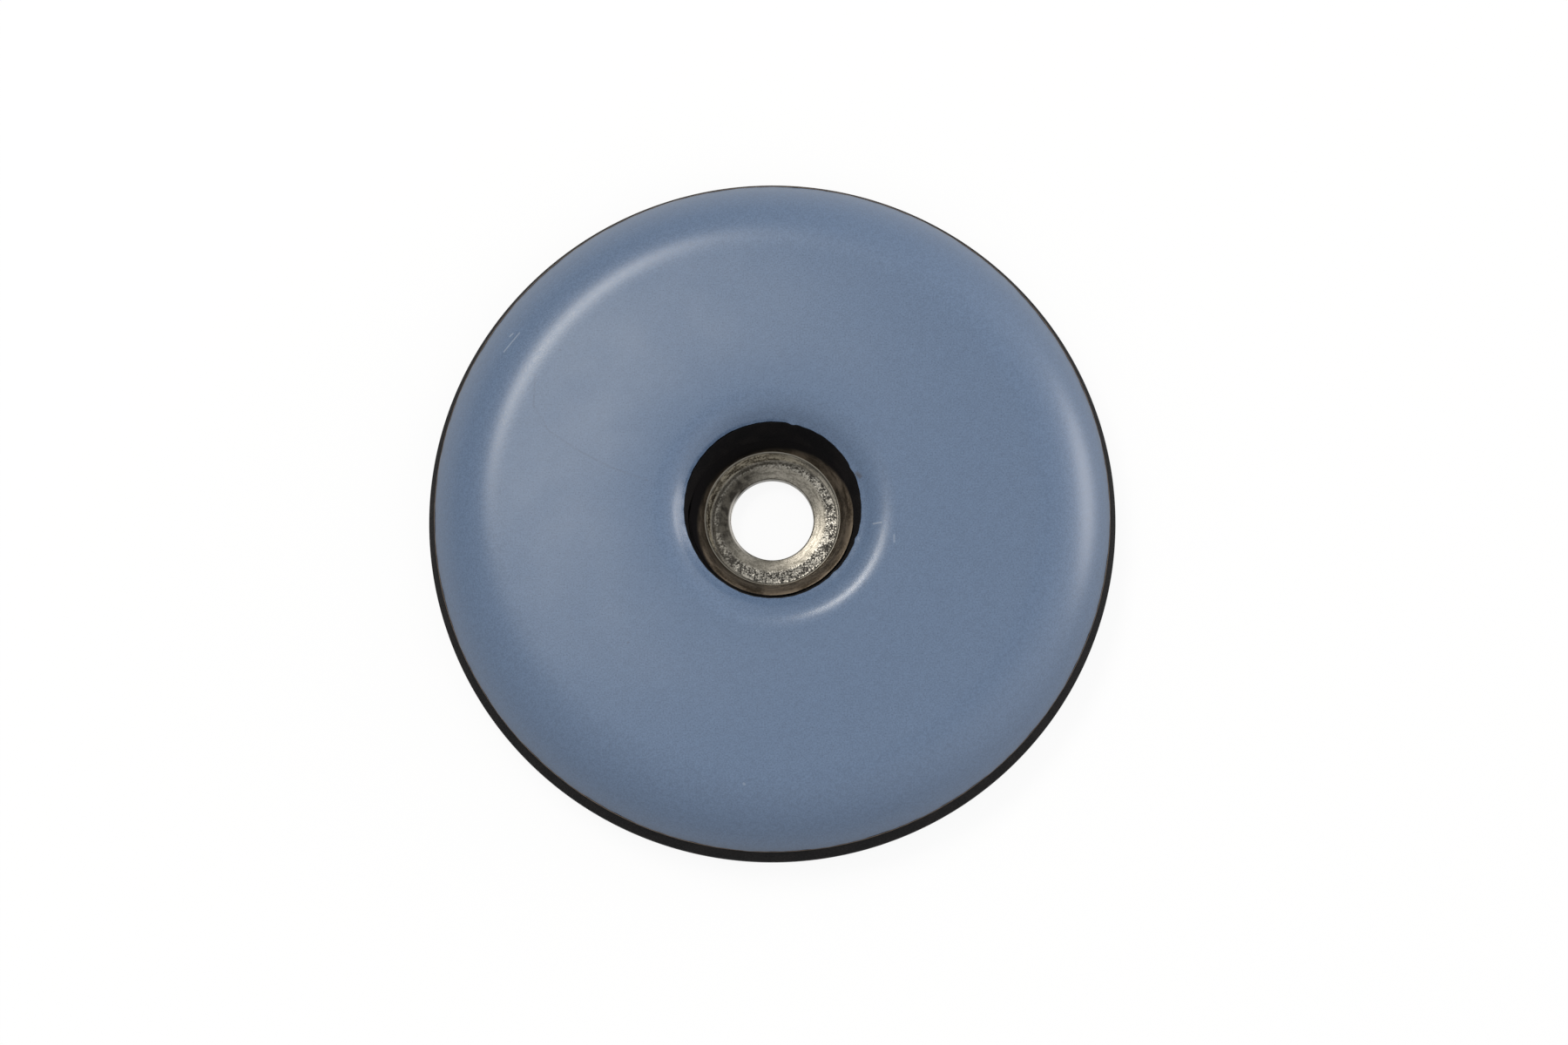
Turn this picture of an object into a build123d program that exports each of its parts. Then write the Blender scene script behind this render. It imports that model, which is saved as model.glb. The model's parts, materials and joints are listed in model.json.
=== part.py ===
from build123d import *
import math
import os

# Screw-on furniture glide: a slippery skin bonded over a rubber base, with a pressed steel seat for the
# screw. Sizes are in millimetres and degrees. The screw axis is Z, the mounting face lies on z = 0 and the
# sliding face is on top. Every piece is round: a section in the (radius, height) plane, revolved.

# Overall form
BASE_DIAMETER = 40.0  # the rubber foot, the widest part of the glide
OVERALL_HEIGHT = 5.0  # mounting face to sliding face

# Rubber base
BASE_WALL_HEIGHT = 2.2  # mounting face to the lower edge of the skin
BASE_FLARE = 0.4  # how far the foot stands out past the lower edge of the skin
FOOT_HEIGHT = 0.8  # upright part of the wall, before it leans in to the skin
FOOT_RADIUS = 0.3  # rounded lower edge of the foot

# Sliding skin
SKIN_THICKNESS = 1.0
SHOULDER_RADIUS = 3.1  # bend at the outside of the flat face
SHOULDER_TURN = 26.0  # how far that bend turns, from level
FLANK_RADIUS = 6.5  # from the bend down to the outer edge
DISH_RADIUS = 2.3  # bend from the flat face down into the screw recess
DISH_TURN = 42.0  # how far that bend turns, before it runs straight to the lip
DISH_DROP = 1.0  # sliding face to the lip of the recess

# Pressed steel seat
SHEET_THICKNESS = 0.9
SCREW_BORE_DIAMETER = 4.8  # clears a 4 or 4.5 mm wood screw
SEAT_FLOOR_WIDTH = 1.55  # bore to the foot of the cup's wall, where the screw head bears
SEAT_FLOOR_FALL = 8.0  # the floor falls towards the bore, measured from the horizontal
SEAT_WALL_TAPER = 16.0  # the cup widens upwards, measured from the axis
SEAT_FLANGE_WIDTH = 2.55  # outside the cup, buried in the rubber
SEAT_SET_BACK = 0.2  # underside of the bore to the mounting face
FLANGE_COVER = 0.4  # rubber between the flange and the inner edge of the skin
FLANGE_BEND_RADIUS = 0.25  # on the inside of the bend, under the flange
CUP_CORNER_RADIUS = 0.35  # on the inside of the bend, between wall and floor
LIP_WIDTH = 0.7  # ring round the bore, countersunk into the floor
LIP_FALL = 17.0  # the ring falls towards the bore more steeply than the floor
LIP_BLEND_RADIUS = 1.2  # between floor and ring
BORE_EDGE_RADIUS = 0.12  # rounded upper edge of the bore

# Screw recess
RECESS_MARGIN = 1.2  # the lip of the skin stands this far outside the cup's floor
RECESS_TAPER = 22.0  # the recess narrows downwards, measured from the axis
WINDOW_WIDTH = 0.9  # ring of the seat's underside left bare round the bore

# Radii and heights that follow from the sizes above
base_radius = BASE_DIAMETER / 2
skin_edge_radius = base_radius - BASE_FLARE
bore_radius = SCREW_BORE_DIAMETER / 2
window_radius = bore_radius + WINDOW_WIDTH
floor_radius = bore_radius + SEAT_FLOOR_WIDTH
recess_radius = floor_radius + RECESS_MARGIN
lip_height = OVERALL_HEIGHT - DISH_DROP


def sine(angle):
    return math.sin(math.radians(angle))


def cosine(angle):
    return math.cos(math.radians(angle))


def slope(angle):
    """Rise or run per millimetre at an angle in degrees."""
    return math.tan(math.radians(angle))


def end_slope(radius, start, drop):
    """Angle below level at which an arc ends, when it starts at an angle and falls by drop."""
    return math.degrees(math.acos(cosine(start) - drop / radius))


# The skin's bends: the dish with its straight lip, then the shoulder and the flank that takes over from it
dish_lip = (DISH_DROP - DISH_RADIUS * (1 - cosine(DISH_TURN))) / sine(DISH_TURN)
shoulder_drop = SHOULDER_RADIUS * (1 - cosine(SHOULDER_TURN))
flank_end = end_slope(FLANK_RADIUS, SHOULDER_TURN, OVERALL_HEIGHT - BASE_WALL_HEIGHT - shoulder_drop)
flat_inner_radius = recess_radius + dish_lip * cosine(DISH_TURN) + DISH_RADIUS * sine(DISH_TURN)
shoulder_end_radius = skin_edge_radius - FLANK_RADIUS * (sine(flank_end) - sine(SHOULDER_TURN))
flat_outer_radius = shoulder_end_radius - SHOULDER_RADIUS * sine(SHOULDER_TURN)


def skin_line(depth):
    """The line of the skin from recess to outer edge, at a depth below its sliding surface."""
    dish_centre = (flat_inner_radius, OVERALL_HEIGHT - DISH_RADIUS)
    shoulder_centre = Vector(flat_outer_radius, OVERALL_HEIGHT - SHOULDER_RADIUS)
    heading = Vector(sine(SHOULDER_TURN), cosine(SHOULDER_TURN))
    flank_centre = shoulder_centre + heading * (SHOULDER_RADIUS - FLANK_RADIUS)
    dish = CenterArc(dish_centre, DISH_RADIUS - depth, 90, DISH_TURN)
    lip = Line(dish @ 1, dish @ 1 + dish_lip * (dish % 1))
    shoulder = CenterArc(shoulder_centre, SHOULDER_RADIUS - depth, 90, -SHOULDER_TURN)
    flank = CenterArc(flank_centre, FLANK_RADIUS - depth, 90 - SHOULDER_TURN, SHOULDER_TURN - flank_end)
    return [lip, dish, Line(dish @ 0, shoulder @ 0), shoulder, flank]


def skin_ends():
    """The cut ends of the skin, square to its surface: first at the recess, then at the outer edge."""
    top, under = skin_line(0), skin_line(SKIN_THICKNESS)
    return Line(top[0] @ 1, under[0] @ 1), Line(top[-1] @ 1, under[-1] @ 1)


def skin_section():
    """Sheet of even thickness, flat in the middle and formed down at the recess and at the outer edge."""
    return make_face([*skin_line(0), *skin_line(SKIN_THICKNESS), *skin_ends()])


# Heights on the seat's upper surface
flange_height = (skin_ends()[0] @ 1).Y - FLANGE_COVER
floor_height = SEAT_SET_BACK + SHEET_THICKNESS / cosine(SEAT_FLOOR_FALL)  # where its slope meets the bore
cup_corner = (floor_radius, floor_height + SEAT_FLOOR_WIDTH * slope(SEAT_FLOOR_FALL))
lip_edge = (bore_radius + LIP_WIDTH, floor_height + LIP_WIDTH * slope(SEAT_FLOOR_FALL))


def parallel(points, distance):
    """The polyline at a distance to the left of another, with mitred corners."""
    points = [Vector(*point) for point in points]
    headings = [(end - start).normalized() for start, end in zip(points, points[1:])]
    normals = [Vector(-heading.Y, heading.X) for heading in headings]
    before, after = [normals[0], *normals], [*normals, normals[-1]]
    return [p + (a + b) * (distance / (1 + a.dot(b))) for p, a, b in zip(points, before, after)]


def bent(points, flange_bend, cup_bend, *further_bends):
    """One surface of the seat, with the first two bends limited to half of the wall between them."""
    wall = (Vector(*points[1]) - Vector(*points[2])).length
    flange_turn = 90 - SEAT_WALL_TAPER
    cup_turn = flange_turn - SEAT_FLOOR_FALL
    limits = [wall / 2 / slope(turn / 2) for turn in (flange_turn, cup_turn)]
    radii = [min(flange_bend, limits[0]), min(cup_bend, limits[1]), *further_bends]
    return FilletPolyline(*points, radius=radii)


def seat_section():
    """Sheet-metal cup with a flange, a tapered wall and a coned floor, punched and countersunk for the screw."""
    wall_top_radius = floor_radius + (flange_height - cup_corner[1]) * slope(SEAT_WALL_TAPER)
    wall_points = [
        (wall_top_radius + SEAT_FLANGE_WIDTH, flange_height),
        (wall_top_radius, flange_height),
        cup_corner,
    ]
    floor_apex = (0, floor_height - bore_radius * slope(SEAT_FLOOR_FALL))
    lip_apex = (0, lip_edge[1] - lip_edge[0] * slope(LIP_FALL))
    upper_bends = (FLANGE_BEND_RADIUS + SHEET_THICKNESS, CUP_CORNER_RADIUS, LIP_BLEND_RADIUS)
    upper = bent([*wall_points, lip_edge, lip_apex], *upper_bends)
    lower_points = parallel([*wall_points, floor_apex], SHEET_THICKNESS)
    lower = bent(lower_points, FLANGE_BEND_RADIUS, CUP_CORNER_RADIUS + SHEET_THICKNESS)
    ends = [Line(upper @ 0, lower @ 0), Line(upper @ 1, lower @ 1)]
    blank = make_face([*upper.edges(), *lower.edges(), *ends])
    punched = blank - Rectangle(SCREW_BORE_DIAMETER, 2 * OVERALL_HEIGHT)
    bore_mouth = punched.vertices().group_by(Axis.X)[0].sort_by(Axis.Y)[-1]
    return fillet(bore_mouth, BORE_EDGE_RADIUS)


def base_section():
    """Everything between the skin, the seat and the mounting face."""
    recess_end, outer_end = skin_ends()
    # Inside the seat the outline keeps to the steel, so the seat cuts it where the rubber meets the metal.
    flange_middle = flange_height - SHEET_THICKNESS / 2
    floor_middle = SEAT_SET_BACK + SHEET_THICKNESS / 2
    outline = Polyline(
        recess_end @ 0,
        (recess_radius - (lip_height - flange_middle) * slope(RECESS_TAPER), flange_middle),
        cup_corner,
        (window_radius, floor_middle),
        (window_radius, 0),
        (base_radius, 0),
        (base_radius, FOOT_HEIGHT),
        outer_end @ 0,
    )
    filled = make_face([*outline.edges(), outer_end, *skin_line(SKIN_THICKNESS), recess_end])
    foot_corner = filled.vertices().group_by(Axis.X)[-1].sort_by(Axis.Y)[0]
    filled = fillet(foot_corner, FOOT_RADIUS)
    return (filled - seat_section()).faces().sort_by(SortBy.AREA)[-1]


def turned(section):
    """The solid that a section in the (radius, height) plane sweeps about the screw axis."""
    return revolve(Plane.XZ * section, axis=Axis.Z)


pieces = {
    "sliding_skin": turned(skin_section()),
    "rubber_base": turned(base_section()),
    "screw_seat": turned(seat_section()),
}

os.makedirs("parts", exist_ok=True)
for name, piece in pieces.items():
    export_step(piece, f"parts/{name}.step")
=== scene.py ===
import json
import math

import bpy
import numpy as np
from mathutils import Matrix, Vector, noise


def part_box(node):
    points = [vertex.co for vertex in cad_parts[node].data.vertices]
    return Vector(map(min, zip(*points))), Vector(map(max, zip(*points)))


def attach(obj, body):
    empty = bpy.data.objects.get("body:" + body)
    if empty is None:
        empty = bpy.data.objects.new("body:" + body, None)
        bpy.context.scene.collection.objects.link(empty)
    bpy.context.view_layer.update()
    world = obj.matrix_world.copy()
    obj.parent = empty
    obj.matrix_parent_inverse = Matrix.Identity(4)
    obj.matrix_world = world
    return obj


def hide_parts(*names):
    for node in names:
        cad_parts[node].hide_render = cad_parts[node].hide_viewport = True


# Screw-on furniture glide, lying on its mounting face and seen from above.
# Lengths are millimetres and angles degrees. Meshes, lamps and the camera turn them into metres.
# A place on the face is (x, y) from the screw axis, and a side is named by its direction (x, y).
MM = 0.001

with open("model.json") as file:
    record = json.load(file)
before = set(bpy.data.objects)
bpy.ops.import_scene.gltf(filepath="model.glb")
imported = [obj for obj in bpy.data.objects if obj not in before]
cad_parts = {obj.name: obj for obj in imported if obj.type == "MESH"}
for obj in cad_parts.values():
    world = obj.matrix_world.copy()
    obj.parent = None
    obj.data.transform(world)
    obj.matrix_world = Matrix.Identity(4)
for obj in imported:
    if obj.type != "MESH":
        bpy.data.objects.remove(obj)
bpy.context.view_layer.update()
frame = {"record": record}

# Sizes from the frame
skin_high = Vector(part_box("sliding_skin")[1]) / MM
base_high = Vector(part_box("rubber_base")[1]) / MM
seat_low, seat_high = [Vector(corner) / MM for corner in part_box("screw_seat")]
mounts = {mount["name"]: mount for mount in frame["record"]["mounts"]}
bore_radius = mounts["screw_bore"]["dims"]["r_mm"]
face_height = skin_high.z
skin_edge_radius = skin_high.x
base_radius = base_high.x
flange_radius = seat_high.x
flange_height = seat_high.z
seat_set_back = seat_low.z

# Skin
SKIN_THICKNESS = 1.0
SKIN_EDGE_HEIGHT = 2.2
SHOULDER_RADIUS = 4.2  # softer than in the solid, to fit the width of the highlights
SHOULDER_TURN = 26.0
FLANK_RADIUS = 6.0  # tighter than in the solid, for the same reason
DISH_RADIUS = 2.3
DISH_TURN = 42.0
DISH_DROP = 1.0

# Rubber base
RECESS_MARGIN = 1.2  # from the foot of the cup's wall out to the lip of the skin
RECESS_TAPER = 22.0
FOOT_HEIGHT = 0.8
FOOT_RADIUS = 0.3
WINDOW_WIDTH = 0.9

# Pressed steel seat, with a countersunk ring round the bore
SHEET_THICKNESS = 0.9
SEAT_FLOOR_WIDTH = 1.55
SEAT_FLOOR_FALL = 8.0
SEAT_WALL_TAPER = 16.0
FLANGE_BEND_RADIUS = 0.25
CUP_CORNER_RADIUS = 0.35
RING_WIDTH = 0.7
RING_FALL = 17.0
RING_BLEND_RADIUS = 1.2
BORE_EDGE_RADIUS = 0.12

# Radii, heights and edges that follow from these sizes
floor_radius = bore_radius + SEAT_FLOOR_WIDTH
recess_radius = floor_radius + RECESS_MARGIN
window_radius = bore_radius + WINDOW_WIDTH
lip_height = face_height - DISH_DROP
skin_edge = (skin_edge_radius, SKIN_EDGE_HEIGHT)
recess_lip = (recess_radius, lip_height)

# Fineness of the meshes
SEGMENTS = 720  # round the screw axis
BASE_SEGMENTS = 360  # the rubber shows little, so it has fewer
SKIN_STEPS = 32  # along each bend of the sliding surface
SKIN_UNDER_STEPS = 6
SEAT_STEPS = 14  # along each bend of the cup
SEAT_UNDER_STEPS = 8
FOOT_STEPS = 8
RECESS_STEPS = 12
CUT_STEPS = 3  # across each cut end of the skin
SHORT_STEPS = 2  # along other short stretches
BEAD_STEPS = 8
CORNER_STEPS = 5
EDGE_SOFTNESS = 0.05  # every cut edge is rounded this much
FLOOR_SPACING = 0.03  # between points on the floor of the cup
FLOOR_REACH = 0.2  # and they go on this far outside its ridge

# Waves of uneven edges, each with its height, how many go round and its phase in radians. A wave that goes
# round no times moves the whole edge.
SKIN_EDGE_WAVES = ((0.016, 7, 0.4), (0.014, 23, 1.9), (0.012, 57, 0.7), (0.010, 131, 2.6))
MOUTH_WAVES = (
    (0.014, 0, 1.57),
    (0.072, 1, 2.23),
    (0.03, 2, 1.57),
    (0.022, 3, 3.14),
    (0.008, 11, 0.2),
    (0.006, 41, 2.2),
)
CREEP_WAVES = (
    (-0.15, 0, 1.57),
    (0.24, 1, 0.2),
    (-0.08, 2, 1.05),
    (0.03, 3, 0.9),
    (0.02, 5, 0.6),
    (0.012, 17, 2.0),
)

# Small departures of the skin, the rubber and the glue from the drawing
TRIM_REACH = 0.15  # the ragged trim is felt this far from the skin's outer edge
TRIM_LEAN = 0.5  # and goes out by this share of what it goes down
MOUTH_REACH = 0.2  # the uneven mouth is felt this far from the lip
MOUTH_BURRS = ((77, 0.06, 2.0), (29, 0.07, 2.5), (-19, 0.05, 2.0), (-46, 0.05, 3.0))  # angle, depth, spread
RECESS_SHIFT = (0.08, 0.03)  # the recess is this far off the middle
DISH_BULGE = 0.1  # the bend of its dish stands this much further out
DISH_BULGE_AT = -50.0  # at this angle
DISH_WIDTH = 1.0  # past this distance from the lip, both die away across the face
CREEP_DEPTH = (0.03, 0.08)  # the creep dies away between these depths in the rubber's wall
GLUE_THICKNESS = 0.07
GLUE_SHARE = 0.7  # mean share of that thickness
GLUE_SWING = 4.0  # how strongly it swells with the waves of the skin's edge
GLUE_TURN = 1.3  # and how far those are turned round, in radians

# The struck floor of the cup
RIDGE_RADIUS = 3.9  # burr that the press has raised round the floor
RIDGE_HEIGHT = 0.03
RIDGE_FOOT = (0.12, 0.04)  # the floor's texture dies away between these distances inside the ridge
STAMP_SHIFT = (0.11, -0.23)  # the press struck this far off the middle
STAMP_RADIUS = 3.65  # the floor is struck down and rough inside this circle
STAMP_DEPTH = 0.03
STAMP_EDGE = 0.06  # width of the circle's edge
RIPPLE_HEIGHT = 0.02  # rings in the floor, outside the struck circle
RIPPLE_SPACING = 0.3
RING_CROWN = 0.02  # the ring round the bore is rounded by this much
RING_SHIFT = (0.2, 0.3)  # and was countersunk this far off the middle
GRAIN_RADII = (3.1, 3.25)  # the floor's grain starts between these radii
GRAIN_HEIGHT = 0.0085
GRAIN_PER_MM = 7.5
GRAIN_OCTAVES = (0.8, 2.0, 3)  # how fast they weaken, how much finer each is and how many
STRIPED_SIDE = (-0.79, 0.62)  # the floor is smoother and its rings show on this side, where its darker colour is partly painted shade
STRIPED_SPAN = (-1.5, 2.5)  # which begins and is complete this far along that direction
STRIPED_CALM = 0.75  # share of the grain that is missing there

# Colour, wear, painted shade and painted highlights of the steel
PIT_RADII = (3.0, 3.22)  # the pits of the floor start between these radii
DULL_RADII = (3.0, 3.3)  # and it turns duller between these
SHADE_LINE_INSET = 0.1  # a dark line of painted shadow runs this far inside the struck circle, on the striped side
SHADE_LINE_WIDTHS = (0.03, 0.14)  # whole this far from its line, and gone at the second distance
BAND_EDGE = 0.1  # the striped band is complete this far outside the circle
WALL_EDGE = (-0.02, 0.06)  # the browned wall begins between these distances from the ridge
RIDGE_HIGHLIGHT_WIDTHS = (0.02, 0.07)  # a painted highlight lies on the ridge this far from its line, likewise
BORE_GLINT_SIDE = (-0.98, -0.17)  # a painted highlight lies along the edge of the bore on this side
BORE_GLINT_SPAN = (1.5, 2.3)
BORE_GLINT_WIDTHS = (0.06, 0.2)  # from the bore, likewise
SHADED_RING_SIDE = (-0.94, 0.34)  # painted shade darkens the ring round the bore on this side
SHADED_RING_SPAN = (0.8, 2.6)
SHADED_RING_RADII = (2.95, 3.35)
STAINS = ((3.15, -1.63, 0.4), (-2.34, -2.42, 0.32), (2.36, 2.62, 0.25), (-3.2, -0.6, 0.4))  # x, y and size
STAIN_CORE = 0.2  # share of its size over which a stain is whole
WALL_SHADE_AT = (0.25, -0.54)  # painted shade darkens the cup's wall outside a circle about this place
WALL_SHADE_RADIUS = 4.55
WALL_SHADE_EDGE = 0.12  # on both sides of the circle

# Bloom and painted sheen, dull places, painted shade and handling marks of the skin
STREAK_ANGLE = 40.0  # faint streaks lie across the face at this angle
STREAKS_PER_MM = (1.2, 7.0)  # along them and across them
BLOOM_AND_SHEEN_AT = (-11.0, 5.6)  # a pale bloom with painted sheen is strongest here
BLOOM_AND_SHEEN_REACH = 23.0
BLOOM_AND_SHEEN_INNER_RADII = (5.5, 12.0)  # it fades between these radii, towards the dish
BLOOM_AND_SHEEN_OUTER_RADII = (15.0, 17.0)  # and between these, towards the shoulder
POLISHED_RADII = (6.5, 8.5)  # the dish is glossier than the face
RUBBED_RADII = (7.5, 9.0)  # and less so on its right
RUBBED_X = (4.8, 6.4)
SCUFFED_INNER_RADII = (15.0, 16.2)  # the shoulder is a little duller
SCUFFED_OUTER_RADII = (16.9, 17.8)
EDGE_SHADE_HEIGHT = 0.5  # painted shade on the skin is strongest within this height of its outer edge
SHADE_DROP = 0.6  # and fainter painted shade reaches up to this far below the face
MARK_CORE = 0.02  # a mark is at full strength this far from its line
HAIRLINE = ((-13.69, 7.81), (-13.79, 5.98), (-12.89, 4.50), (-11.33, 3.43), (-9.33, 2.37), (-7.22, 1.60))
HAIRLINE_MARK = (HAIRLINE, 0.10, 0.16)  # like the marks below: points, where it fades out and strength
PALE_MARKS = (
    (((-15.25, 10.35), (-15.07, 10.50)), 0.06, 0.26),  # two strokes of one scratch
    (((-14.68, 10.48), (-15.58, 9.39)), 0.055, 0.22),
    (((5.83, -0.87), (6.29, -0.82)), 0.07, 0.24),  # nick in the dish
    (((7.02, -1.60), (7.02, -2.01)), 0.08, 0.16),  # scrape beside it
    (((-1.62, -16.0), (-1.58, -16.05)), 0.1, 0.16),  # fleck on the shoulder
    (((4.27, 2.80), (4.33, 2.60)), 0.08, 0.8),  # chip at the mouth
)
DARK_MARKS = (
    (((-12.30, 9.28), (-12.26, 9.27)), 0.10, 0.25),  # two specks
    (((-8.28, -7.87), (-8.25, -7.85)), 0.10, 0.25),
    (((4.90, 2.15), (5.05, 1.98)), 0.22, 0.55),  # smudge at the mouth
)

# Camera
CAMERA_TILT = 9.9  # off the screw axis
CAMERA_DISTANCE = 350.0
CAMERA_LENS = 139.6
CAMERA_SENSOR = 36.0
CAMERA_CLIP = 10.0
AIM = (0.68, -0.87, 5.0)  # what the middle of the picture looks at

# Lamps, room and floor
LAMP_DISTANCE = 600.0
KEY_FROM = (-0.41, 0.504, 0.76)
KEY_ALONG = (-0.342, -0.348, 0.065)  # the way its length runs
KEY_SIZE = (410.0, 140.0)
KEY_WATTS = 1.82
KEY_COLOUR = (1.0, 0.965, 0.91)
FILL_FROM = (0.96, 0.23, 0.15)
FILL_ALONG = (0.0, 1.0, 0.0)
FILL_SIZE = (380.0, 200.0)
FILL_WATTS = 0.95
FILL_COLOUR = (1.0, 0.97, 0.95)
ROOM_LEVEL = 0.62
ROOM_GLOWS = (  # towards, level, and cosine of the angle at which the glow has died away
    ((1.0, 0.0, 0.35), 0.50, 0.35),
    ((0.8, -0.55, 0.25), 0.14, 0.35),
    ((0.65, 0.65, 0.4), 0.24, 0.35),
    ((0.0, 0.0, 1.0), 0.28, 0.35),
    ((-0.65, -0.65, 0.4), 0.12, 0.35),
    ((-0.6, 0.6, 0.3), -0.12, 0.35),
    ((0.56, 0.12, 0.82), -0.55, 0.8),
)
FLOOR_HALF_WIDTH = 3000.0
FLOOR_SHADOW = 0.1  # share of the shadow that the white floor shows
FLOOR_BOUNCE = 0.35  # share of the light that the floor throws back on the glide


def arc(centre, radius, start, turn, steps):
    """Points along an arc in the (radius, height) plane."""
    angles = np.radians(np.linspace(start, start + turn, steps + 1))
    return np.stack([centre[0] + radius * np.cos(angles), centre[1] + radius * np.sin(angles)], 1)


def straight(start, end, steps):
    """Points along a straight line."""
    return np.linspace(np.array(start), np.array(end), steps + 1)


def joined(*lines):
    """Lines that follow on from each other, as one."""
    return np.concatenate([lines[0]] + [line[1:] for line in lines[1:]])


def slope(angle):
    """Rise per run at an angle."""
    return math.tan(math.radians(angle))


def leaning(angle):
    """Unit vector in the (radius, height) plane, turned outwards from upright by an angle in radians."""
    return np.array((math.sin(angle), math.cos(angle)))


def trimmed(line, length):
    """A line with a short length taken off both ends."""
    along = np.concatenate([[0], np.cumsum(np.linalg.norm(np.diff(line, axis=0), axis=1))])
    cuts = (length, along[-1] - length)
    inside = (along > cuts[0]) & (along < cuts[1])
    ends = [[np.interp(cut, along, line[:, k]) for k in (0, 1)] for cut in cuts]
    return np.concatenate([ends[:1], line[inside], ends[1:]])


def closed(*sides):
    """Closed outline whose sides meet at softened corners, with the material on the left."""
    cut = [trimmed(side, EDGE_SOFTNESS) for side in sides]
    t = np.linspace(0, 1, CORNER_STEPS + 1)[1:-1, None]
    outline = []
    for side, corner, following in zip(cut, [side[-1] for side in sides], cut[1:] + cut[:1]):
        bend = (1 - t) ** 2 * side[-1] + 2 * t * (1 - t) * corner + t**2 * following[0]
        outline += [side, bend]
    return np.concatenate(outline)


def filleted(points, radii, steps):
    """Polyline with each inner corner replaced by an arc."""
    points = [np.array(point) for point in points]
    lines = [points[:1]]
    for before, at, after, radius in zip(points, points[1:], points[2:], radii):
        back, ahead = before - at, after - at
        back, ahead = back / np.linalg.norm(back), ahead / np.linalg.norm(ahead)
        half = math.acos(np.clip(back @ ahead, -1, 1)) / 2
        start, end = at + back * radius / math.tan(half), at + ahead * radius / math.tan(half)
        middle = (back + ahead) / np.linalg.norm(back + ahead)
        centre = at + middle * radius / math.sin(half)
        first, last = [math.degrees(math.atan2(*(p - centre)[::-1])) for p in (start, end)]
        turn = (last - first + 180) % 360 - 180
        lines.append(arc(centre, radius, first, turn, steps))
    lines.append(points[-1:])
    return np.concatenate(lines)


def parallel(points, distance):
    """The polyline at a distance to the left of another, with mitred corners."""
    points = np.array(points)
    headings = np.diff(points, axis=0)
    headings /= np.linalg.norm(headings, axis=1)[:, None]
    normals = np.stack([-headings[:, 1], headings[:, 0]], 1)
    before, after = np.vstack([normals[:1], normals]), np.vstack([normals, normals[-1:]])
    share = distance / (1 + (before * after).sum(1))
    return points + (before + after) * share[:, None]


def spread(line, spacing):
    """The same line with points no further apart than a spacing."""
    stretches = [line[:1]]
    for start, end in zip(line, line[1:]):
        steps = max(1, math.ceil(np.linalg.norm(end - start) / spacing))
        stretches.append(straight(start, end, steps)[1:])
    return np.concatenate(stretches)


def bell(distance, width):
    """Bump of height 1 that dies away with distance."""
    return np.exp(-((distance / width) ** 2))


def ramp(value, low, high):
    """Smooth step from 0 at low to 1 at high."""
    t = np.clip((value - low) / (high - low), 0, 1)
    return t * t * (3 - 2 * t)


def waves(angle, terms):
    """Sum of small waves round the piece."""
    return sum(height * np.sin(count * angle + phase) for height, count, phase in terms)


def towards(direction, angle):
    """How far a shift in a direction moves a point outwards, at an angle round the axis."""
    return direction[0] * np.cos(angle) + direction[1] * np.sin(angle)


def lathe(name, outline, segments, shape):
    """Closed mesh of an outline turned about the screw axis, then moved a little by a shape function."""
    angle = np.linspace(0, 2 * math.pi, segments, endpoint=False)[:, None]
    radius = np.tile(outline[:, 0], (segments, 1))
    height = np.tile(outline[:, 1], (segments, 1))
    radius, height = shape(radius, height, angle)
    points = np.stack([radius * np.cos(angle), radius * np.sin(angle), height], -1).reshape(-1, 3)
    count = len(outline)
    row = np.arange(segments)[:, None] * count
    next_row = np.roll(row, -1, axis=0)
    column = np.arange(count)[None, :]
    next_column = np.roll(column, -1, axis=1)
    corners = [row + column, next_row + column, next_row + next_column, row + next_column]
    faces = np.stack(corners, -1).reshape(-1, 4)
    mesh = bpy.data.meshes.new(name)
    mesh.from_pydata((points * MM).tolist(), [], faces.tolist())
    mesh.shade_smooth()
    piece = bpy.data.objects.new(name, mesh)
    bpy.context.collection.objects.link(piece)
    return piece


def skin_line(depth, steps):
    """The skin from recess to outer edge, at a depth below its sliding surface."""
    turn, dish_turn = math.radians(SHOULDER_TURN), math.radians(DISH_TURN)
    lip_drop = DISH_DROP - DISH_RADIUS * (1 - math.cos(dish_turn))
    lip_run = lip_drop / math.tan(dish_turn)
    flat_start = recess_radius + lip_run + DISH_RADIUS * math.sin(dish_turn)
    flank_drop = face_height - SKIN_EDGE_HEIGHT - SHOULDER_RADIUS * (1 - math.cos(turn))
    flank_end = math.acos(math.cos(turn) - flank_drop / FLANK_RADIUS)
    flank_turn = math.degrees(flank_end) - SHOULDER_TURN
    dish_centre = (flat_start, face_height - DISH_RADIUS)
    flank_centre = np.array(skin_edge) - FLANK_RADIUS * leaning(flank_end)
    shoulder_centre = flank_centre + (FLANK_RADIUS - SHOULDER_RADIUS) * leaning(turn)
    straight_steps = max(SHORT_STEPS, steps // 3)
    dish = arc(dish_centre, DISH_RADIUS - depth, 90 + DISH_TURN, -DISH_TURN, steps)
    lip = straight(dish[0] - (lip_run, lip_drop), dish[0], straight_steps)
    shoulder = arc(shoulder_centre, SHOULDER_RADIUS - depth, 90, -SHOULDER_TURN, steps)
    flank = arc(flank_centre, FLANK_RADIUS - depth, 90 - SHOULDER_TURN, -flank_turn, steps)
    return joined(lip, dish, straight(dish[-1], shoulder[0], straight_steps), shoulder, flank)


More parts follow.
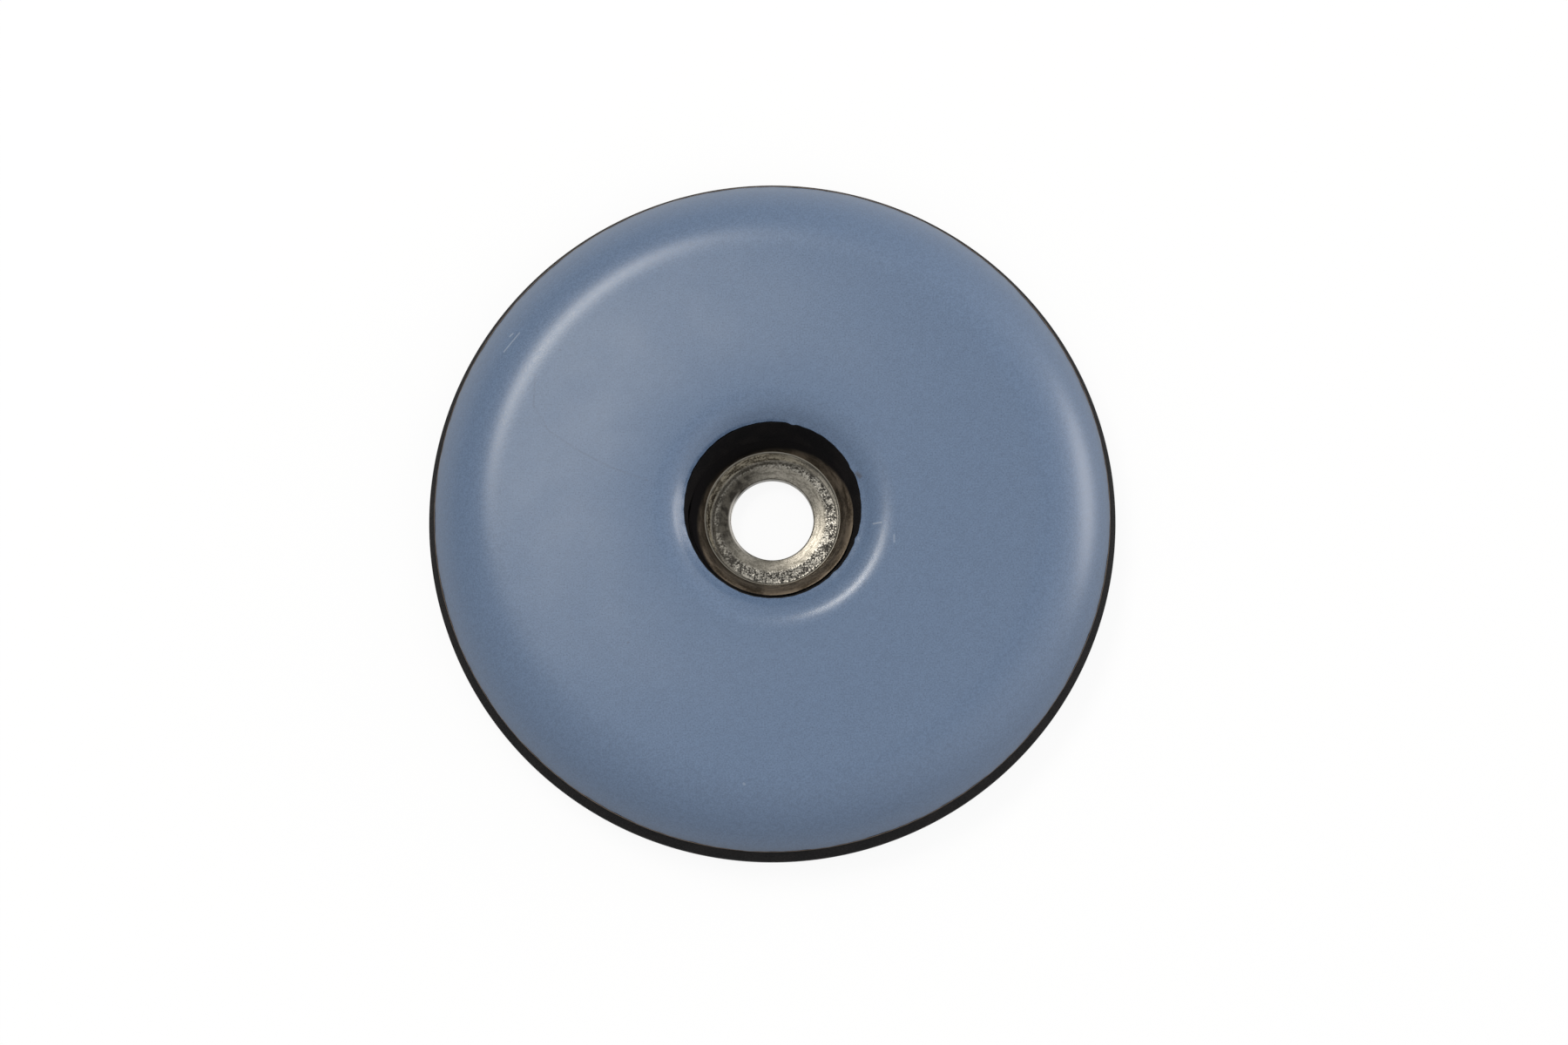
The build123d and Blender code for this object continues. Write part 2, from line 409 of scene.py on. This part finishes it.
def seat_lines():
    """Upper and lower surface of the seat, both from the flange's edge inwards to the bore."""
    fall = slope(SEAT_FLOOR_FALL)
    floor_height = seat_set_back + SHEET_THICKNESS / math.cos(math.radians(SEAT_FLOOR_FALL))
    corner_height = floor_height + SEAT_FLOOR_WIDTH * fall
    ring_height = floor_height + RING_WIDTH * fall
    wall_top = floor_radius + (flange_height - corner_height) * slope(SEAT_WALL_TAPER)
    wall = [(flange_radius, flange_height), (wall_top, flange_height), (floor_radius, corner_height)]
    ring = [
        (bore_radius + RING_WIDTH, ring_height),
        (bore_radius, ring_height - RING_WIDTH * slope(RING_FALL)),
        (bore_radius, seat_set_back),
    ]
    under = parallel([*wall, (0, floor_height - bore_radius * fall)], SHEET_THICKNESS)
    under[-1] = (bore_radius, seat_set_back)
    flange_bend = FLANGE_BEND_RADIUS + SHEET_THICKNESS
    upper_radii = (flange_bend, CUP_CORNER_RADIUS, RING_BLEND_RADIUS, BORE_EDGE_RADIUS)
    under_radii = (FLANGE_BEND_RADIUS, CUP_CORNER_RADIUS + SHEET_THICKNESS)
    return filleted(wall + ring, upper_radii, SEAT_STEPS), filleted(under, under_radii, SEAT_UNDER_STEPS)


def off_centre(radius, angle):
    """How far the uneven recess and its dish move a point outwards. It dies away across the face."""
    dish_end = recess_radius + DISH_WIDTH
    facing = np.maximum(np.cos(angle - math.radians(DISH_BULGE_AT)), 0)
    bulge = DISH_BULGE * facing**2 * ramp(radius, recess_radius, dish_end)
    return (towards(RECESS_SHIFT, angle) + bulge) * (1 - ramp(radius, dish_end, 2 * recess_radius))


def worn_skin(radius, height, angle):
    """Ragged trim along the outer edge and a burred mouth at the recess."""
    edge = bell(np.hypot(radius - skin_edge_radius, height - SKIN_EDGE_HEIGHT), TRIM_REACH)
    trim = edge * waves(angle, SKIN_EDGE_WAVES)
    mouth = waves(angle, MOUTH_WAVES)
    for place, depth, width in MOUTH_BURRS:
        away = (np.degrees(angle) - place + 180) % 360 - 180
        mouth = mouth + depth * bell(away, width)
    lip = bell(np.hypot(radius - recess_radius, height - lip_height), MOUTH_REACH)
    return radius + off_centre(radius, angle) + TRIM_LEAN * trim - lip * mouth, height - trim


def stamped_seat(radius, height, angle):
    """The struck floor of the cup: off the middle, rough inside its edge and rippled outside it."""
    upper = height > seat_set_back + SHEET_THICKNESS / 2
    inside = upper & (radius < RIDGE_RADIUS + 4 * RIDGE_HEIGHT)
    x, y = radius * np.cos(angle), radius * np.sin(angle)
    reach = np.hypot(x - STAMP_SHIFT[0], y - STAMP_SHIFT[1]) - STAMP_RADIUS
    floor = 1 - ramp(radius, *[RIDGE_RADIUS - distance for distance in RIDGE_FOOT])
    struck = 1 - ramp(reach, -STAMP_EDGE, 0)
    ripple = RIPPLE_HEIGHT * np.sin(reach * 2 * math.pi / RIPPLE_SPACING) * (1 - struck) * floor
    ridge = RIDGE_HEIGHT * bell(radius - RIDGE_RADIUS, RIDGE_HEIGHT)
    lean = slope(RING_FALL) * towards(RING_SHIFT, angle) * (1 - ramp(radius, GRAIN_RADII[0], RIDGE_RADIUS))
    across = np.clip((radius - bore_radius) / RING_WIDTH, 0, 1)
    crown = RING_CROWN * 4 * across * (1 - across)
    striped = ramp(x * STRIPED_SIDE[0] + y * STRIPED_SIDE[1], *STRIPED_SPAN)
    rough = ramp(radius, *GRAIN_RADII) * struck * floor * (1 - STRIPED_CALM * striped)
    grain = np.zeros_like(radius)
    for i, j in np.argwhere(inside & (rough > 0)):
        grain[i, j] = noise.fractal(Vector((x[i, j], y[i, j], 0)) * GRAIN_PER_MM, *GRAIN_OCTAVES)
    pressed = ridge + ripple + crown - STAMP_DEPTH * struck - lean
    return radius, height + inside * (pressed + GRAIN_HEIGHT * rough * grain)


def skin_piece():
    """Sheet of even thickness with worn edges."""
    outer = skin_line(0, SKIN_STEPS)[::-1]
    inner = skin_line(SKIN_THICKNESS, SKIN_UNDER_STEPS)
    outer_cut = straight(inner[-1], outer[0], CUT_STEPS)
    recess_cut = straight(outer[-1], inner[0], CUT_STEPS)
    return lathe("glide_skin", closed(inner, outer_cut, outer, recess_cut), SEGMENTS, worn_skin)


def seat_piece():
    """Pressed cup with a struck floor."""
    upper, under = seat_lines()
    on_floor = upper[:, 0] < RIDGE_RADIUS + FLOOR_REACH
    fine = np.concatenate([upper[~on_floor], spread(upper[on_floor], FLOOR_SPACING)])
    outline = closed(under[::-1], straight(under[0], upper[0], SHORT_STEPS), fine)
    return lathe("glide_seat", outline, SEGMENTS, stamped_seat)


def base_piece():
    """Fills the space between skin, seat and mounting face."""
    seat_upper, seat_under = seat_lines()
    skin_under = skin_line(SKIN_THICKNESS, SKIN_UNDER_STEPS)[::-1]
    foot = [(window_radius, 0), (base_radius, 0), (base_radius, FOOT_HEIGHT), skin_edge]
    wall = filleted(foot, (FOOT_RADIUS, FOOT_RADIUS), FOOT_STEPS)
    recess_reach = recess_radius - (lip_height - seat_upper[:, 1]) * slope(RECESS_TAPER)
    bare = np.argmax(seat_upper[:, 0] < recess_reach)
    landing = seat_upper[bare]
    recess = straight(recess_lip, landing, RECESS_STEPS)
    pocket = joined(seat_upper[: bare + 1][::-1], straight(seat_upper[0], seat_under[0], SHORT_STEPS))
    window_height = np.interp(window_radius, seat_under[::-1, 0], seat_under[::-1, 1])
    window_top = (window_radius, window_height)
    under = np.concatenate([seat_under[seat_under[:, 0] > window_radius], [window_top]])
    outline = closed(
        wall,
        straight(skin_edge, skin_under[0], CUT_STEPS),
        skin_under,
        straight(skin_under[-1], recess[0], CUT_STEPS),
        recess,
        pocket,
        under,
        straight(window_top, (window_radius, 0), SHORT_STEPS),
    )

    def crept(radius, height, angle):
        """The recess off the middle, and its rubber run further down over the steel on one side."""
        share = (lip_height - height) / (lip_height - landing[1])
        recess_wall = recess_radius + share * (landing[0] - recess_radius)
        moved = (1 - ramp(abs(radius - recess_wall), *CREEP_DEPTH)) * np.clip(share, 0, 1)
        creep = waves(angle, CREEP_WAVES)
        fall = landing[1] - np.interp(landing[0] - creep, seat_upper[::-1, 0], seat_upper[::-1, 1])
        above = height > flange_height
        return radius + above * off_centre(radius, angle) - moved * creep, height - moved * fall

    return lathe("glide_base", outline, BASE_SEGMENTS, crept)


def glue_piece():
    """Thin uneven bead along the skin's lower edge."""
    bead = arc(skin_edge, GLUE_THICKNESS / 2, 0, 360, BEAD_STEPS)[:-1]

    def uneven(radius, height, angle):
        swollen = GLUE_SHARE + GLUE_SWING * waves(angle + GLUE_TURN, SKIN_EDGE_WAVES)
        edge_height = SKIN_EDGE_HEIGHT - waves(angle, SKIN_EDGE_WAVES)
        radius = skin_edge_radius + (radius - skin_edge_radius) * swollen
        return radius, edge_height + (height - SKIN_EDGE_HEIGHT) * swollen

    return lathe("glue_line", bead, SEGMENTS, uneven)


class Nodes:
    """A node tree that is being filled in."""

    def __init__(self, tree):
        self.tree = tree

    def feed(self, socket, value):
        """Give a socket its value: a link from another socket, or a plain value."""
        if isinstance(value, bpy.types.NodeSocket):
            self.tree.links.new(value, socket)
        else:
            socket.default_value = value

    def node(self, kind, inputs=None, **settings):
        """New node with its settings and inputs."""
        made = self.tree.nodes.new(kind)
        for name, value in settings.items():
            setattr(made, name, value)
        for name, value in (inputs or {}).items():
            self.feed(made.inputs[name], value)
        return made

    def math(self, operation, *values):
        return self.node("ShaderNodeMath", dict(enumerate(values)), operation=operation).outputs[0]

    def vector(self, operation, *values):
        made = self.node("ShaderNodeVectorMath", dict(enumerate(values)), operation=operation)
        return made.outputs["Value" if operation in ("LENGTH", "DOT_PRODUCT") else "Vector"]

    def scaled(self, vector, factor):
        inputs = {0: vector, "Scale": factor}
        return self.node("ShaderNodeVectorMath", inputs, operation="SCALE").outputs["Vector"]

    def combined(self, **axes):
        inputs = {axis.upper(): value for axis, value in axes.items()}
        return self.node("ShaderNodeCombineXYZ", inputs).outputs[0]

    def ramp(self, value, low, high, start=0.0, end=1.0):
        """Smooth step from start to end as a value goes from low to high."""
        inputs = {"Value": value, "From Min": low, "From Max": high, "To Min": start, "To Max": end}
        return self.node("ShaderNodeMapRange", inputs, interpolation_type="SMOOTHSTEP").outputs[0]

    def product(self, first, *others):
        for other in others:
            first = self.math("MULTIPLY", first, other)
        return first

    def blend(self, *parts):
        """Weighted sum of values, from pairs of a value and its weight."""
        total = 0.0
        for value, weight in parts:
            total = self.math("MULTIPLY_ADD", value, weight, total)
        return total


class Finish(Nodes):
    """A material being made. Its points are in millimetres, in the frame of the object."""

    def __init__(self, name):
        self.material = bpy.data.materials.new(name)
        self.material.use_nodes = True
        super().__init__(self.material.node_tree)
        self.place = self.scaled(self.node("ShaderNodeTexCoord").outputs["Object"], 1 / MM)
        self.x, self.y, self.z = self.node("ShaderNodeSeparateXYZ", {0: self.place}).outputs
        self.flat = self.combined(x=self.x, y=self.y)
        self.radius = self.vector("LENGTH", self.flat)

    def noise(self, per_mm=1.0, detail=2.0, place=None):
        inputs = {"Vector": place or self.place, "Scale": per_mm, "Detail": detail}
        return self.node("ShaderNodeTexNoise", inputs).outputs[0]

    def mix(self, share, first, second):
        """Colour that goes from the first to the second with a share."""
        first, second = [(*colour, 1) if isinstance(colour, tuple) else colour for colour in (first, second)]
        inputs = {"Factor": share, 6: first, 7: second}
        return self.node("ShaderNodeMix", inputs, data_type="RGBA").outputs[2]

    def drawn_out(self, angle, along_per_mm, across_per_mm):
        """Place on the face for a pattern that is drawn out in a direction."""
        heading = Vector((math.cos(math.radians(angle)), math.sin(math.radians(angle)), 0))
        along = self.vector("DOT_PRODUCT", self.flat, heading * along_per_mm)
        across = self.vector("DOT_PRODUCT", self.flat, Vector((-heading.y, heading.x, 0)) * across_per_mm)
        return self.combined(x=along, y=across)

    def ringwise(self, round_per_mm, out_per_mm):
        """Place for a pattern that is drawn out round the screw axis, at the radius of the cup's wall."""
        heading = self.vector("NORMALIZE", self.flat)
        reach = Vector((1, 1, 0)) * RIDGE_RADIUS * round_per_mm
        out = self.combined(z=self.math("MULTIPLY", self.radius, out_per_mm))
        return self.vector("ADD", self.vector("MULTIPLY", heading, reach), out)

    def distance(self, place):
        """Distance, seen from above, to a place on the face."""
        return self.vector("LENGTH", self.vector("SUBTRACT", self.flat, (*place, 0)))

    def side(self, direction, span):
        """Smooth step from 0 to 1 towards one side."""
        return self.ramp(self.vector("DOT_PRODUCT", self.flat, (*direction, 0)), *span)

    def off(self, value, level):
        """How far a value is off a level, either way."""
        return self.math("ABSOLUTE", self.math("SUBTRACT", value, level))

    def stroke(self, points):
        """Distance, seen from above, to a line through points on the face."""
        nearest = None
        for start, end in zip(points, points[1:]):
            run = Vector((*end, 0)) - Vector((*start, 0))
            offset = self.vector("SUBTRACT", self.flat, (*start, 0))
            share = self.vector("DOT_PRODUCT", offset, run / run.length_squared)
            share = self.node("ShaderNodeClamp", {0: share}).outputs[0]
            distance = self.vector("LENGTH", self.vector("SUBTRACT", offset, self.scaled(run, share)))
            nearest = self.math("MINIMUM", nearest, distance) if nearest else distance
        return nearest

    def marks(self, *marks):
        """How strongly marks show: each has its points, where it fades out and its strength."""
        shown = 0.0
        for points, fade, strength in marks:
            mark = self.ramp(self.stroke(points), MARK_CORE, fade, strength, 0.0)
            shown = self.math("MAXIMUM", shown, mark)
        return shown

    def bump(self, height, strength, distance):
        inputs = {"Height": height, "Strength": strength, "Distance": distance * MM}
        return self.node("ShaderNodeBump", inputs).outputs[0]

    def done(self, sockets):
        """The material, with these values on the sockets of its shader."""
        shader = self.tree.nodes["Principled BSDF"]
        for name, value in sockets.items():
            self.feed(shader.inputs[name], value)
        return self.material


def skin_bloom_and_sheen(finish):
    """Share of the pale bloom and painted sheen, which lies on the flat face and is strongest at the upper
    left, towards the key lamp.
    """
    return finish.product(
        finish.ramp(finish.distance(BLOOM_AND_SHEEN_AT), 0.0, BLOOM_AND_SHEEN_REACH, 0.175, 0.0),
        finish.ramp(finish.radius, *BLOOM_AND_SHEEN_INNER_RADII),
        finish.ramp(finish.radius, *BLOOM_AND_SHEEN_OUTER_RADII, 1.0, 0.0),
        finish.ramp(finish.noise(per_mm=0.35), 0.2, 0.8, 0.8, 1.15),
    )


def skin_painted_shade(finish):
    """Share of painted shade on the skin's flank, strongest at its outer edge, where the skin faces down."""
    edge = finish.ramp(finish.z, SKIN_EDGE_HEIGHT, SKIN_EDGE_HEIGHT + EDGE_SHADE_HEIGHT, 0.3, 0.0)
    flank = finish.ramp(finish.z, SKIN_EDGE_HEIGHT, face_height - SHADE_DROP, 0.25, 0.0)
    outside = finish.ramp(finish.radius, 2 * recess_radius, 3 * recess_radius)
    return finish.product(finish.math("ADD", edge, flank), outside)


def skin_roughness(finish, grain, scuffs):
    """Satin with fine grain, glossier in the dish and duller on scuffs and on the shoulder."""
    satin = finish.ramp(grain, 0.25, 0.75, 0.27, 0.36)
    polished = finish.ramp(finish.radius, *POLISHED_RADII, -0.032, 0.0)
    rubbed = finish.product(
        finish.ramp(finish.radius, *RUBBED_RADII, 1.0, 0.0), finish.ramp(finish.x, *RUBBED_X, 0.0, 0.043)
    )
    scuffed = finish.product(
        finish.ramp(finish.radius, *SCUFFED_INNER_RADII, 0.0, 0.035),
        finish.ramp(finish.radius, *SCUFFED_OUTER_RADII, 1.0, 0.2),
    )
    return finish.blend((satin, 1.0), (scuffs, 0.3), (polished, 1.0), (rubbed, 1.0), (scuffed, 1.0))


def skin_finish():
    """Satin blue-grey low-friction plastic with fine grain, a pale bloom that is partly painted sheen,
    painted shade on its flank and handling marks.
    """
    finish = Finish("sliding_plastic")
    blue = (0.0940, 0.1447, 0.2343)
    deep_blue = (0.0690, 0.1068, 0.1761)
    # pale bloom, partly painted sheen towards the key lamp
    bloom_and_sheen = (0.46, 0.49, 0.53)
    pale = (0.50, 0.53, 0.57)
    dirt = (0.045, 0.035, 0.030)
    # painted shade on the down-facing flank
    shaded_edge_blue = (0.045, 0.065, 0.10)
    fine = finish.noise(per_mm=11.0)
    coarse = finish.noise(per_mm=3.5)
    streaks = finish.noise(place=finish.drawn_out(STREAK_ANGLE, *STREAKS_PER_MM))
    tone = finish.blend((fine, 0.68), (coarse, 0.2), (streaks, 0.12))
    scuffs = finish.marks(*PALE_MARKS)
    hairline = finish.product(finish.marks(HAIRLINE_MARK), finish.ramp(coarse, 0.40, 0.60, 0.25, 1.0))
    dirty = finish.math("MAXIMUM", hairline, finish.marks(*DARK_MARKS))
    colour = finish.mix(finish.ramp(tone, 0.33, 0.67), deep_blue, blue)
    colour = finish.mix(skin_bloom_and_sheen(finish), colour, bloom_and_sheen)
    colour = finish.mix(scuffs, colour, pale)
    colour = finish.mix(dirty, colour, dirt)
    colour = finish.mix(skin_painted_shade(finish), colour, shaded_edge_blue)
    relief = finish.blend((fine, 1.0), (dirty, -0.5))
    return finish.done(
        {
            "Base Color": colour,
            "Roughness": skin_roughness(finish, fine, scuffs),
            "IOR": 1.58,
            "Normal": finish.bump(relief, strength=0.35, distance=0.012),
        }
    )


def rubber_finish():
    """Matt black moulded rubber, a little brown where it is dusty."""
    finish = Finish("black_rubber")
    black = (0.0042, 0.0040, 0.0044)
    dusty = (0.0078, 0.0068, 0.0068)
    fine = finish.noise(per_mm=12.0, detail=3.0)
    broad = finish.noise(per_mm=0.8, detail=3.0)
    return finish.done(
        {
            "Base Color": finish.mix(finish.ramp(broad, 0.35, 0.7), black, dusty),
            "Roughness": finish.ramp(fine, 0.3, 0.7, 0.65, 0.85),
            "IOR": 1.15,
            "Normal": finish.bump(fine, strength=0.35, distance=0.02),
        }
    )


def steel_shares(finish):
    """How far each kind of surface, painted shade and painted highlight covers the smooth zinc, from the
    lowest layer to the top one.
    """
    reach = finish.distance(STAMP_SHIFT)
    shaded_striped_side = finish.side(STRIPED_SIDE, STRIPED_SPAN)
    struck = finish.ramp(reach, STAMP_RADIUS - STAMP_EDGE, STAMP_RADIUS, 1.0, 0.0)
    calmed = finish.math("MULTIPLY_ADD", shaded_striped_side, -0.35, 1.0)
    ring_shade_fade = finish.ramp(finish.radius, *SHADED_RING_RADII, 0.9, 0.25)
    near_bore = finish.ramp(finish.radius, *[bore_radius + width for width in BORE_GLINT_WIDTHS], 1.0, 0.0)
    outside = finish.ramp(reach, STAMP_RADIUS, STAMP_RADIUS + BAND_EDGE)
    groove = finish.ramp(finish.off(reach, STAMP_RADIUS - SHADE_LINE_INSET), *SHADE_LINE_WIDTHS, 0.8, 0.0)
    wall = finish.ramp(finish.radius, *[RIDGE_RADIUS + distance for distance in WALL_EDGE])
    shaded_outside = finish.ramp(finish.distance(WALL_SHADE_AT), WALL_SHADE_RADIUS - WALL_SHADE_EDGE, WALL_SHADE_RADIUS + WALL_SHADE_EDGE)
    return {
        "pitted": finish.product(struck, finish.ramp(finish.radius, *PIT_RADII), calmed),
        # painted shade on one side of the ring round the bore
        "tarnished": finish.product(finish.side(SHADED_RING_SIDE, SHADED_RING_SPAN), ring_shade_fade),
        # painted highlight along the bore's edge
        "bare": finish.product(finish.side(BORE_GLINT_SIDE, BORE_GLINT_SPAN), near_bore),
        "striped": finish.product(shaded_striped_side, outside),
        "groove": finish.product(shaded_striped_side, groove),
        "wall": wall,
        # painted highlight on the ridge
        "ridge": finish.ramp(finish.off(finish.radius, RIDGE_RADIUS), *RIDGE_HIGHLIGHT_WIDTHS, 1.0, 0.0),
        # painted shade on the cup's wall
        "film": finish.product(shaded_outside, wall),
    }


def steel_colours(finish, grain):
    """Colour of each kind of surface, either plain or mottled from dark to light."""
    blotches = finish.noise(per_mm=2.5, detail=3.0)
    smears = finish.noise(detail=3.0, place=finish.ringwise(0.9, 3.0))
    rings = finish.noise(place=finish.ringwise(1.2, 8.0))
    mottle = finish.blend((grain, 0.45), (rings, 0.55))
    streaks = finish.blend((mottle, 0.5), (smears, 0.5))
    bites = finish.blend((grain, 0.65), (blotches, 0.35))
    for *place, size in STAINS:
        stain = finish.ramp(finish.distance(place), STAIN_CORE * size, size, 0.14, 0.0)
        bites = finish.math("SUBTRACT", bites, stain)
    mottled = {
        "smooth": (finish.ramp(mottle, 0.38, 0.62), (0.13, 0.121, 0.101), (0.26, 0.243, 0.208)),
        "pitted": (finish.ramp(bites, 0.42, 0.60), (0.032, 0.030, 0.027), (0.36, 0.343, 0.302)),
        # painted shade on one side of the ring round the bore
        "tarnished": (finish.ramp(blotches, 0.38, 0.62), (0.014, 0.012, 0.010), (0.075, 0.068, 0.056)),
        # real rings, in a darker tone that is partly painted shade
        "striped": (finish.ramp(mottle, 0.42, 0.58), (0.045, 0.038, 0.028), (0.19, 0.17, 0.13)),
        "wall": (finish.ramp(streaks, 0.38, 0.62), (0.045, 0.034, 0.023), (0.18, 0.145, 0.108)),
    }
    plain = {
        # painted highlight along the bore's edge
        "bare": (0.62, 0.59, 0.54),
        # painted shadow beside the step of the struck circle
        "groove": (0.03, 0.026, 0.02),
        # painted highlight on the ridge
        "ridge": (0.26, 0.245, 0.21),
        # painted shade on the cup's wall
        "film": (0.012, 0.011, 0.0115),
    }
    return plain | {kind: finish.mix(*tones) for kind, tones in mottled.items()}


def steel_finish():
    """Pressed steel under dull zinc: a rough struck floor, a smooth ring, a browned wall and stains, with
    painted shade and painted highlights.
    """
    finish = Finish("zinc_plated_steel")
    grain = finish.noise(per_mm=9.5, detail=3.0)
    shares = steel_shares(finish)
    colours = steel_colours(finish, grain)
    colour = colours["smooth"]
    for kind, share in shares.items():
        colour = finish.mix(share, colour, colours[kind])
    zinc = finish.ramp(finish.radius, *DULL_RADII, 0.355, 0.40)
    pits = finish.product(finish.ramp(grain, 0.35, 0.65, 0.10, -0.12), shares["pitted"])
    roughness = finish.blend((zinc, 1.0), (pits, 1.0), (shares["wall"], 0.14), (shares["film"], 0.2))
    bitten = finish.product(grain, finish.math("MULTIPLY_ADD", shares["pitted"], 0.8, 0.2))
    return finish.done(
        {
            "Base Color": colour,
            "Metallic": 1.0,
            "Roughness": roughness,
            "Normal": finish.bump(bitten, strength=0.9, distance=0.035),
        }
    )


def glue_finish():
    """Brown contact glue squeezed out under the skin."""
    finish = Finish("glue")
    lumps = finish.noise(per_mm=3.0)
    return finish.done(
        {
            "Base Color": finish.mix(lumps, (0.05, 0.035, 0.025), (0.11, 0.075, 0.05)),
            "Roughness": 0.5,
            "Normal": finish.bump(lumps, strength=0.3, distance=0.02),
        }
    )


def dress(piece, material, node=None):
    """Gives a piece its material and its place in the library part, and hides the solid that it stands for.
    """
    piece.data.materials.append(material)
    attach(piece, "root")
    if node:
        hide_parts(node)


def softbox(name, direction, along, size, watts, colour):
    """Oval lamp far out in a direction, facing the glide, with its length along another."""
    lamp = bpy.data.lights.new(name, "AREA")
    lamp.shape = "ELLIPSE"
    lamp.size, lamp.size_y = [length * MM for length in size]
    lamp.energy = watts
    lamp.color = colour
    holder = bpy.data.objects.new(name, lamp)
    away = Vector(direction).normalized()
    holder.location = (Vector(AIM) + away * LAMP_DISTANCE) * MM
    across = away.cross(Vector(along)).normalized()
    holder.rotation_euler = Matrix((across.cross(away), across, away)).transposed().to_euler()
    bpy.context.collection.objects.link(holder)


def room_light():
    """White light from all round, with soft glows where the room is brighter or darker."""
    world = bpy.data.worlds.new("room")
    world.use_nodes = True
    bpy.context.scene.world = world
    room = Nodes(world.node_tree)
    direction = room.node("ShaderNodeTexCoord").outputs["Generated"]
    strength = ROOM_LEVEL
    for glow_towards, level, edge in ROOM_GLOWS:
        facing = room.vector("DOT_PRODUCT", direction, Vector(glow_towards).normalized())
        strength = room.math("ADD", room.ramp(facing, edge, 1.0, 0.0, level), strength)
    background = room.tree.nodes["Background"]
    room.feed(background.inputs["Color"], (1, 1, 1, 1))
    room.feed(background.inputs["Strength"], strength)


def floor_finish():
    """White where it is seen or mirrored, with a share of the shadow. It throws light back like grey."""
    material = bpy.data.materials.new("floor")
    material.use_nodes = True
    nodes = Nodes(material.node_tree)
    nodes.tree.nodes.remove(nodes.tree.nodes["Principled BSDF"])
    path = nodes.node("ShaderNodeLightPath").outputs
    seen = path["Is Camera Ray"]
    for kind in ("Is Glossy Ray", "Is Transmission Ray"):
        seen = nodes.math("MAXIMUM", seen, path[kind])
    white = nodes.node("ShaderNodeEmission").outputs[0]
    shaded = nodes.node("ShaderNodeBsdfDiffuse").outputs[0]
    grey = (FLOOR_BOUNCE, FLOOR_BOUNCE, FLOOR_BOUNCE, 1)
    bounce = nodes.node("ShaderNodeBsdfDiffuse", {"Color": grey}).outputs[0]
    shown = nodes.node("ShaderNodeMixShader", {0: FLOOR_SHADOW, 1: white, 2: shaded}).outputs[0]
    surface = nodes.node("ShaderNodeMixShader", {0: seen, 1: bounce, 2: shown}).outputs[0]
    nodes.feed(nodes.tree.nodes["Material Output"].inputs["Surface"], surface)
    return material


def floor():
    """Square floor that the glide lies on."""
    size = FLOOR_HALF_WIDTH * MM
    corners = [(-size, -size, 0), (size, -size, 0), (size, size, 0), (-size, size, 0)]
    mesh = bpy.data.meshes.new("floor")
    mesh.from_pydata(corners, [], [(0, 1, 2, 3)])
    mesh.materials.append(floor_finish())
    piece = bpy.data.objects.new("floor", mesh)
    bpy.context.collection.objects.link(piece)


def camera():
    """Looks down on the face, a little from the front, with the back of the glide upwards."""
    tilt = math.radians(CAMERA_TILT)
    away = Vector((0, -math.sin(tilt), math.cos(tilt)))
    lens = bpy.data.cameras.new("camera")
    lens.lens = CAMERA_LENS
    lens.sensor_width = CAMERA_SENSOR
    lens.clip_start = CAMERA_CLIP * MM
    holder = bpy.data.objects.new("camera", lens)
    holder.location = (Vector(AIM) + away * CAMERA_DISTANCE) * MM
    holder.rotation_euler = away.to_track_quat("Z", "Y").to_euler()
    bpy.context.collection.objects.link(holder)
    bpy.context.scene.camera = holder


dress(skin_piece(), skin_finish(), "sliding_skin")
dress(base_piece(), rubber_finish(), "rubber_base")
dress(seat_piece(), steel_finish(), "screw_seat")
dress(glue_piece(), glue_finish())
floor()
room_light()
softbox("key", KEY_FROM, KEY_ALONG, KEY_SIZE, KEY_WATTS, KEY_COLOUR)
softbox("fill", FILL_FROM, FILL_ALONG, FILL_SIZE, FILL_WATTS, FILL_COLOUR)
camera()
bpy.context.scene.view_settings.view_transform = "Standard"
